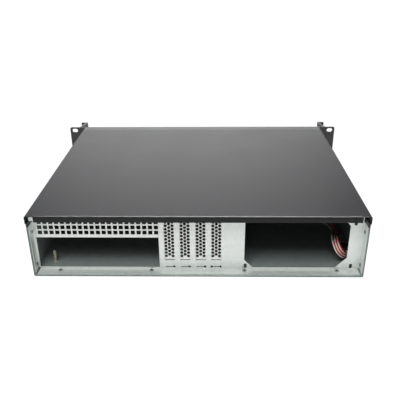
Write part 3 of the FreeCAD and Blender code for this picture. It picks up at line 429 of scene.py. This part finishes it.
def zinc(name, colour, roughness=0.36, cells=170.0, depth=0.22, metallic=0.65, bore=False,
         plate=None):
    """Zinc-coated sheet; `plate` is the Y of a flat plate's outer face, whose hole walls get the
    dark colour of bare steel and painted shade.
    """
    material, tree, shader, place = start_finish(name, roughness, metallic)
    bloom = add(tree, "Group", {"Vector": place, "Cells": cells, "Depth": depth},
                node_tree=zinc_bloom)
    shade = bloom.outputs["Shade"]
    if bore:
        open_sky = add(tree, "AmbientOcclusion", {"Distance": 3 * MM}, samples=6).outputs["AO"]
        shade = math_node(tree, "MULTIPLY", shade, remap(tree, open_sky, 0.45, 0.95, 0, 1))
    along = add(tree, "SeparateXYZ", {0: place}).outputs["Y"]
    # The rear rim and the hole walls get the dark colour: partly bare steel, partly painted shade.
    bare_and_shade_mask = remap(tree, along, REAR_EDGE - 0.1 * MM, REAR_EDGE, 0, BARE_AND_SHADE_SHARE)
    if plate is not None:
        normal = add(tree, "TexCoord").outputs["Normal"]
        turned = math_node(tree, "ABSOLUTE", add(tree, "SeparateXYZ", {0: normal}).outputs["Y"])
        in_plate = math_node(tree, "LESS_THAN", along, plate + 0.05 * MM)
        wall = math_node(tree, "MULTIPLY", in_plate, remap(tree, turned, 0.6, 0.4))
        bare_and_shade_mask = math_node(tree, "MAXIMUM", bare_and_shade_mask, wall)
    mixed = add(tree, "Mix", {0: bare_and_shade_mask, 6: shaded(tree, colour, shade), 7: BARE_STEEL_AND_SHADE},
                data_type="RGBA").outputs[2]
    tree.links.new(mixed, shader.inputs["Base Color"])
    rough = math_node(tree, "MULTIPLY_ADD", bloom.outputs["Rough"], 0.1, roughness)
    tree.links.new(rough, shader.inputs["Roughness"])
    return material


zinc_sheet = zinc("zinc_sheet", (0.405, 0.475, 0.46), 0.5)
zinc_panel = zinc("zinc_panel", (0.72, 0.76, 0.73), 0.38, depth=0.16, plate=PANEL_FACE)
cover_steel = zinc("cover_steel", (0.75, 0.78, 0.75), 0.42, cells=260.0, depth=0.1,
                   plate=COVER_FACE)
screw_zinc = zinc("screw_zinc", (0.66, 0.66, 0.64), 0.3, cells=700.0, depth=0.15, metallic=0.9)
rivet_metal = zinc("rivet_metal", (0.50, 0.52, 0.51), 0.45, cells=900.0, depth=0.12,
                   metallic=0.8, bore=True)
print("plate's face at", round(PANEL_FACE, 4), "covers' face at", round(COVER_FACE, 4))

# %% [markdown]
# ### Black coats
# The cover and front are powder coated in black. Powder coat melts into a skin with a very
# fine orange peel: it is dark, but it picks up a broad grey sheen from a bright room, most of
# all where we look along it. Thick paint fills the cover's corners too, so a Bevel node can
# round the shading of its edges. A change of the mesh isn't needed for that.

# %% Black coats
# Colour of the edge band: metal showing through worn paint, and a painted highlight.
WORN_METAL_AND_HIGHLIGHT = (0.22, 0.22, 0.225, 1)
SKIN_DEPTH = 0.08 * MM
COLOUR_DRIFT, GLOSS_DRIFT = 0.18, 0.07


def black_coat(name, colour, roughness, fine, bump, wear_and_highlight=0.25, metallic=0.0, gloss=0.5,
               soft=0.0):
    """Dark paint with a fine skin (`fine`, `bump`) and a lighter edge band of rubbed wear and
    painted highlight, as strong as the wear-and-highlight number.
    """
    material, tree, shader, place = start_finish(name, roughness, metallic,
                                                 Specular_IOR_Level=gloss)
    skin = add(tree, "Group", {"Vector": place, "Fine": fine, "Slow": 14.0}, node_tree=grain)
    band = add(tree, "Group", {"Vector": place}, node_tree=edge_band)
    shade = math_node(tree, "MULTIPLY_ADD", skin.outputs["Drift"], COLOUR_DRIFT, 1.0)
    # Lighter edges: partly rubbed wear, partly a painted highlight.
    worn_and_highlit = math_node(tree, "MULTIPLY", band.outputs["Band"], wear_and_highlight)
    mixed = add(tree, "Mix", {0: worn_and_highlit, 6: shaded(tree, colour, shade), 7: WORN_METAL_AND_HIGHLIGHT},
                data_type="RGBA").outputs[2]
    tree.links.new(mixed, shader.inputs["Base Color"])
    rough = math_node(tree, "MULTIPLY_ADD", skin.outputs["Drift"], GLOSS_DRIFT, roughness)
    tree.links.new(rough, shader.inputs["Roughness"])
    raise_skin(tree, shader, skin.outputs["Height"], bump, SKIN_DEPTH, soft)
    return material


cover_paint = black_coat("cover_paint", (0.006, 0.006, 0.007), 0.32, fine=1100.0, bump=0.22,
                         gloss=0.27, soft=2.5 * MM)
front_paint = black_coat("front_paint", (0.020, 0.020, 0.022), 0.36, fine=1100.0, bump=0.22)
handle_coat = black_coat("handle_coat", (0.016, 0.016, 0.017), 0.33, fine=2600.0, bump=0.08,
                         wear_and_highlight=0.3, metallic=0.35)
screw_black = black_coat("screw_black", (0.020, 0.020, 0.021), 0.3, fine=3000.0, bump=0.06,
                         wear_and_highlight=0.3, metallic=0.5)
print("black coats:", [m.name for m in (cover_paint, front_paint, handle_coat, screw_black)])

# %% [markdown]
# ### Moulded plastics and small metal parts
# Moulded parts take the fine texture of their mould, and small turned or plated parts have
# about the same even skin, so one recipe serves both. Only its numbers differ.

# %% Moulded plastics and brass
MOULD_DEPTH = 0.05 * MM
MOULD_COLOUR_DRIFT, MOULD_GLOSS_DRIFT = 0.12, 0.08


def moulded(name, colour, roughness, fine=2200.0, bump=0.15, **plain):
    """An even material whose colour and gloss drift slowly over a fine skin."""
    material, tree, shader, place = start_finish(name, roughness, **plain)
    skin = add(tree, "Group", {"Vector": place, "Fine": fine, "Slow": 40.0}, node_tree=grain)
    shade = math_node(tree, "MULTIPLY_ADD", skin.outputs["Drift"], MOULD_COLOUR_DRIFT, 1.0)
    tree.links.new(shaded(tree, colour, shade), shader.inputs["Base Color"])
    rough = math_node(tree, "MULTIPLY_ADD", skin.outputs["Drift"], MOULD_GLOSS_DRIFT, roughness)
    tree.links.new(rough, shader.inputs["Roughness"])
    raise_skin(tree, shader, skin.outputs["Height"], bump, MOULD_DEPTH)
    return material


fan_plastic = moulded("fan_plastic", (0.022, 0.022, 0.023), 0.45)
rotor_plastic = moulded("rotor_plastic", (0.028, 0.028, 0.029), 0.38, bump=0.06)
bay_plastic = moulded("bay_plastic", (0.024, 0.024, 0.025), 0.5, bump=0.35)
button_plastic = moulded("button_plastic", (0.10, 0.10, 0.105), 0.3, bump=0.05)
switch_plastic = moulded("switch_plastic", (0.035, 0.035, 0.035), 0.4)
post_nylon = moulded("post_nylon", (0.28, 0.28, 0.21), 0.42, bump=0.08,
                     Subsurface_Weight=0.15)
light_lens = moulded("light_lens", (0.62, 0.74, 0.60), 0.12, bump=0.02, Coat_Weight=0.4)
port_steel = moulded("port_steel", (0.70, 0.70, 0.70), 0.22, bump=0.04, metallic=1.0)
brass = moulded("brass", (0.62, 0.47, 0.22), 0.28, bump=0.05, metallic=1.0)
lead_red = moulded("lead_red", (0.42, 0.012, 0.02), 0.5, bump=0.05)
lead_white = moulded("lead_white", (0.72, 0.70, 0.62), 0.5, bump=0.05)
print("finishes so far:", len(bpy.data.materials))

# %% [markdown]
# ### The control board
# The control board is glass fibre under green solder mask. Copper tracks show through as
# slightly lighter lines: a brick pattern with thin joints gives straight runs with bends.

# %% Board
def board_finish():
    """Brick pattern turned upright, with its joints raised as tracks."""
    material, tree, shader, place = start_finish("board_green", 0.3, Coat_Weight=0.3)
    upright = add(tree, "Mapping", {"Vector": place, "Rotation": (math.pi / 2, 0, 0)})
    tracks = add(tree, "TexBrick", {"Vector": upright.outputs[0], "Scale": 160.0,
                                    "Mortar Size": 0.03, "Color1": (0.008, 0.075, 0.03, 1),
                                    "Color2": (0.010, 0.085, 0.035, 1),
                                    "Mortar": (0.03, 0.20, 0.09, 1)})
    tree.links.new(tracks.outputs[0], shader.inputs["Base Color"])
    raise_skin(tree, shader, tracks.outputs["Fac"], 0.2, 0.1 * MM)
    return material


board_green = board_finish()
print("finishes:", len(bpy.data.materials))

# %% [markdown]
# ## Finishes on the pieces
# Each CAD piece keeps its mesh and only gets its material. The lead bundle has none here,
# because the leads stand for it, and each of their faces picks its colour by number.

# %% Give the finishes
FINISHES = {
    "chassis_base": zinc_sheet, "drive_cage": zinc_sheet, "rear_panel": zinc_panel,
    "slot_cover_1": cover_steel, "slot_cover_2": cover_steel, "slot_cover_3": cover_steel,
    "slot_cover_4": cover_steel, "rivets": rivet_metal, "top_cover": cover_paint,
    "front_panel": front_paint, "handle_right": handle_coat, "handle_left": handle_coat,
    "fan_frame": fan_plastic, "fan_rotor": rotor_plastic, "bay_cover": bay_plastic,
    "power_button": button_plastic, "reset_button": button_plastic,
    "control_board": board_green, "push_switches": switch_plastic,
    "lead_plug": switch_plastic, "indicator_lights": light_lens, "usb_ports": port_steel,
    "board_spacers": brass, "board_standoffs": brass, "support_post": post_nylon,
    "slot_cover_screws": screw_zinc, "top_cover_screws": screw_zinc,
    "front_panel_screws": screw_zinc, "board_screws": screw_zinc,
    "handle_screws": screw_black, "fan_screws": screw_black}
for node, finish in FINISHES.items():
    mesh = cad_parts[node].data
    mesh.materials.clear()
    mesh.materials.append(finish)
print("nodes without a finish:", sorted(set(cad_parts) - set(FINISHES)))

# %% Colours of the leads
LEAD_FINISHES = {"red": lead_red, "white": lead_white}
for finish in LEAD_FINISHES.values():
    leads.data.materials.append(finish)
finish_number = [list(LEAD_FINISHES).index(colour) for colour in LEAD_COLOURS]
leads.data.polygons.foreach_set("material_index", [finish_number[p] for p in lead_of_face])
print("finish of each lead:", finish_number)

# %% [markdown]
# ## Screws with a cross recess
# The CAD screws are plain. Here each head gets a domed top and a cross for the driver.
# One grid makes the whole screw: rings run up the shank, over the head and down into the
# recess, where they follow the outline of the cross in place of a circle.

# %% Screw shape
COLUMNS = 24
HEAD_RADIUS, HEAD_HEIGHT = 2.9 * MM, 1.7 * MM
SHANK_RADIUS = 1.5 * MM
ARM_SHARE, ARM_ANGLE = 0.56, math.radians(15)
RING_ANGLE = np.linspace(0, 2 * np.pi, COLUMNS, endpoint=False)


def cross_radius(angle, arm, half):
    """Distance from the centre to a cross's outline, for arms this long and 2 * half wide."""
    inside = np.abs((angle + np.pi / 4) % (np.pi / 2) - np.pi / 4)
    side = half / np.maximum(np.sin(inside), 1e-9)
    return np.minimum(arm / np.cos(inside), side)


def screw_profile(radius, height, length):
    """Rings (radius, height) of a shank, a pan head from its base up, and down into the cross."""
    arm = radius * ARM_SHARE
    cross = cross_radius(RING_ANGLE, arm, arm * math.tan(ARM_ANGLE))
    shank = [(SHANK_RADIUS, -length), (SHANK_RADIUS, 0)]
    head = [(radius, 0), (radius, height * 0.45), (radius * 0.93, height * 0.75),
            (radius * 0.8, height * 0.93), (radius * 0.66, height)]
    recess = [(cross, height), (cross * 0.86, height * 0.4), (cross * 0.25, height * 0.25)]
    rings = [np.stack([r * np.cos(RING_ANGLE), r * np.sin(RING_ANGLE),
                       np.full(COLUMNS, z)], axis=-1) for r, z in shank + head + recess]
    return np.array(rings)


print("points in a screw:", screw_profile(HEAD_RADIUS, HEAD_HEIGHT, 3 * MM)[..., 0].size)

# %% [markdown]
# ### Where the screws are
# One CAD node holds several loose screws, so its points are parted by distance. Each group's
# box gives a screw's middle and its length, and the side that it is driven from is known.

# %% Screws in their places
SCREW_REACH = 11 * MM


def clusters(node, reach):
    """Boxes of the loose solids of a CAD node that lie further apart than `reach`."""
    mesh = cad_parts[node].data
    left = np.empty(len(mesh.vertices) * 3)
    mesh.vertices.foreach_get("co", left)
    left = left.reshape(-1, 3)
    while len(left):
        near = np.linalg.norm(left - left[0], axis=1) < reach
        yield left[near].min(0), left[near].max(0)
        left = left[~near]


def screw_axes(facing, middle):
    """Three directions of a screw, the last one out of its head (away from X = 0 if None)."""
    side = facing if facing is not None else (math.copysign(1, middle[0]), 0, 0)
    axis = np.array(side, float)
    first = unit(np.cross(axis, (0, 0, 1) if abs(axis[2]) < 0.5 else (0, 1, 0)))
    return np.array([first, np.cross(axis, first), axis])


def dress_screws(node, facing, finish, slot):
    """Detailed screws in place of a node's plain ones, with their heads out along `facing`."""
    points, faces = [], []
    for low, high in clusters(node, SCREW_REACH):
        middle = (low + high) / 2
        axes = screw_axes(facing, middle)
        span = float(abs(axes[2]) @ (high - low))
        base = middle + axes[2] * (span / 2 - HEAD_HEIGHT)
        local = screw_profile(HEAD_RADIUS, HEAD_HEIGHT, span - HEAD_HEIGHT)
        rows = len(local)
        start = len(points) * rows * COLUMNS
        points.append(base + local @ axes)
        faces += grid_faces(rows, COLUMNS, start)
        faces.append([start + j for j in reversed(range(COLUMNS))])
        faces.append([start + (rows - 1) * COLUMNS + j for j in range(COLUMNS)])
    piece = new_piece(node + "_crossed", np.array(points), faces, smooth=False)
    piece.data.materials.append(finish)
    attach(piece, "case")
    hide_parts(node)
    return piece


for node, facing, finish, slot in [
        ("slot_cover_screws", (0, 0, 1), screw_zinc, "screw_zinc"),
        ("top_cover_screws", None, screw_zinc, "screw_zinc"),
        ("front_panel_screws", None, screw_zinc, "screw_zinc"),
        ("handle_screws", (0, 1, 0), screw_black, "screw_black"),
        ("fan_screws", (0, -1, 0), screw_black, "screw_black"),
        ("board_screws", (0, 1, 0), screw_zinc, "screw_zinc")]:
    made = dress_screws(node, facing, finish, slot)
    print(made.name, len(made.data.polygons))

# %% [markdown]
# ## Floor, light and surroundings
# The case stands on a pale floor in a bright surround, as in a small photo tent. The camera
# sees both as plain white. The floor also keeps a soft shadow, because only a part of its
# colour is glow.

# %% Floor
FLOOR_REACH = 6.0
FLOOR_DROP = 0.5 * MM
GLOW_SHARE = 0.92
GLOW_SEEN, GLOW_IN_GLOSS = 1.05, 0.85


def make_floor():
    """A square just under the case, white to the camera and in gloss, and matt to the light."""
    corners = [(x * FLOOR_REACH, y * FLOOR_REACH, -FLOOR_DROP)
               for x, y in ((-1, -1), (1, -1), (1, 1), (-1, 1))]
    floor = new_piece("floor", corners, [[0, 1, 2, 3]], smooth=False)
    material, tree, shader, _ = start_finish("floor_white", 0.7)
    shader.inputs["Base Color"].default_value = (0.86, 0.86, 0.86, 1)
    paths = add(tree, "LightPath").outputs
    level = math_node(tree, "MULTIPLY_ADD", paths["Is Camera Ray"], GLOW_SEEN - GLOW_IN_GLOSS,
                      GLOW_IN_GLOSS)
    glow = add(tree, "Emission", {"Color": (1, 1, 1, 1), "Strength": level})
    either = math_node(tree, "MAXIMUM", paths["Is Camera Ray"], paths["Is Glossy Ray"])
    mix = add(tree, "MixShader", {0: math_node(tree, "MULTIPLY", either, GLOW_SHARE),
                                  1: shader.outputs[0], 2: glow.outputs[0]})
    tree.links.new(mix.outputs[0], tree.nodes["Material Output"].inputs[0])
    floor.data.materials.append(material)
    return floor


floor = make_floor()
print("floor:", [round(v, 2) for v in floor.dimensions])

# %% [markdown]
# ### The surround
# Black paint shows mostly what it mirrors, so gloss gets a surround of its own. A glow low on
# the far wall gives the cover its sheen, as we look along it. A weaker glow on our side shows
# in the rear panel. A small bright patch overhead draws the thin line along the cover's bend.
# Each glow is a round spot: its strength grows with the dot product of two directions.

# %% Surround
GLOWS = {"far wall": ((0.055, -0.97, 0.24), 0.90, 0.99, 0.04, 2.0),
         "our side": ((0, 0.95, 0.3), 0.8, 0.98, 0.0, 0.5),
         "overhead": ((0, -0.25, 1), 0.925, 0.965, 0.0, 40.0)}
FILL = 0.3


def make_surround():
    """White to the camera, three glows to gloss, and an even fill to everything else."""
    world = bpy.data.worlds.new("surround")
    world.use_nodes = True
    tree = world.node_tree
    tree.nodes.clear()
    way = add(tree, "TexCoord").outputs["Generated"]
    level = 0.0
    for middle, rim, core, least, most in GLOWS.values():
        toward = add(tree, "VectorMath", {0: way, 1: Vector(middle).normalized()},
                     operation="DOT_PRODUCT")
        glow = remap(tree, toward.outputs["Value"], rim, core, least, most)
        level = math_node(tree, "ADD", level, glow)
    seen, gloss, soft = (add(tree, "Background", {"Color": (1, 1, 1, 1), "Strength": strength})
                         for strength in (1.0, level, FILL))
    paths = add(tree, "LightPath")
    first = add(tree, "MixShader", {0: paths.outputs["Is Glossy Ray"], 1: soft.outputs[0],
                                    2: gloss.outputs[0]})
    last = add(tree, "MixShader", {0: paths.outputs["Is Camera Ray"], 1: first.outputs[0],
                                   2: seen.outputs[0]})
    output = tree.nodes.new("ShaderNodeOutputWorld")
    tree.links.new(last.outputs[0], output.inputs[0])
    bpy.context.scene.world = world


make_surround()
print("glows:", list(GLOWS))

# %% [markdown]
# ### The lamp
# One large soft lamp hangs above and behind the camera. It shades the inside of the case and
# the edges of the openings. Gloss doesn't see it, or its square would show in the paint.

# %% Lamp
def soft_lamp(name, place, target, size, power):
    """A square area lamp that points at the target and stays out of reflections."""
    data = bpy.data.lights.new(name, "AREA")
    data.shape = "SQUARE"
    data.size = size
    data.energy = power
    lamp = bpy.data.objects.new(name, data)
    lamp.location = place
    lamp.rotation_euler = (Vector(target) - Vector(place)).to_track_quat("-Z", "Y").to_euler()
    lamp.visible_glossy = False
    bpy.context.scene.collection.objects.link(lamp)
    return lamp


soft_lamp("above", place=(0.25, 1.05, 1.85), target=(0, 0.15, 0.05), size=1.15, power=61)
print("lamps:", len(bpy.data.lights))

# %% [markdown]
# ## The end
# Colours are shown as they are written.

# %% Looks of the whole scene
scene = bpy.context.scene
scene.view_settings.view_transform = "Standard"
